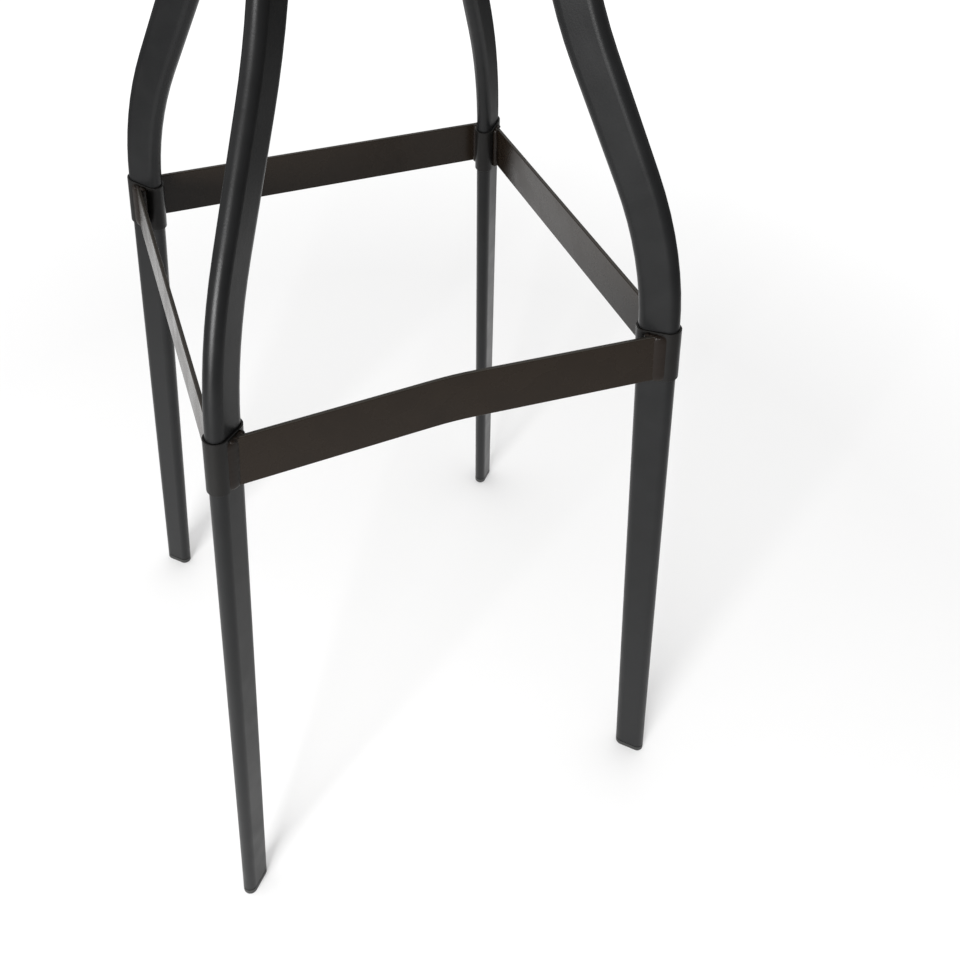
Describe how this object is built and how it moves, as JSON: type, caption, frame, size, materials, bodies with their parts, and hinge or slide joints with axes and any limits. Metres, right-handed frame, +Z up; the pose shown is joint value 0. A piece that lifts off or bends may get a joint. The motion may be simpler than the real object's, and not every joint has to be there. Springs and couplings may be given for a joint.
{
  "type": "bar stool",
  "caption": "Bar stool with waisted flat-oval tube legs, a flat-bar footrest welded to leg collars, and a round wooden seat turning on a spindle.",
  "frame": {"origin": "on the floor, on the stool's axis, midway between the feet", "axes": "+Z up, -Y towards the front, where the footrest bar is set in, +X to the right seen from the front"},
  "size_m": [0.3596, 0.3596, 0.8006],
  "materials": {
    "frame_coat": "satin black powder coat",
    "foot_plastic": "matte",
    "bush_plastic": "matte",
    "steel": "zinc plated",
    "seat_wood": "satin oiled"
  },
  "bodies": {
    "base": {"front_left_leg": "frame_coat", "front_left_footrest_collar": "frame_coat", "front_right_leg": "frame_coat", "front_right_footrest_collar": "frame_coat", "back_right_leg": "frame_coat", "back_right_footrest_collar": "frame_coat", "back_left_leg": "frame_coat", "back_left_footrest_collar": "frame_coat", "front_footrest_bar": "frame_coat", "right_footrest_bar": "frame_coat", "back_footrest_bar": "frame_coat", "left_footrest_bar": "frame_coat", "footrest_welds": "frame_coat", "crown_plate": "frame_coat", "crown_welds": "frame_coat", "swivel_housing": "frame_coat", "front_left_foot_cap": "foot_plastic", "front_right_foot_cap": "foot_plastic", "back_right_foot_cap": "foot_plastic", "back_left_foot_cap": "foot_plastic", "upper_bush": "bush_plastic", "lower_bush": "bush_plastic", "thrust_washer": "steel"},
    "seat_top": {"spindle": "steel", "keeper_washer": "steel", "retaining_clip": "steel", "seat_plate": "frame_coat", "seat": "seat_wood", "seat_screws": "steel"}
  },
  "joints": [
    {"name": "seat_swivel", "type": "hinge", "parent": "base", "child": "seat_top", "pos_m": [0, 0, 0.755], "axis": [0, 0, 1], "continuous": true}
  ]
}
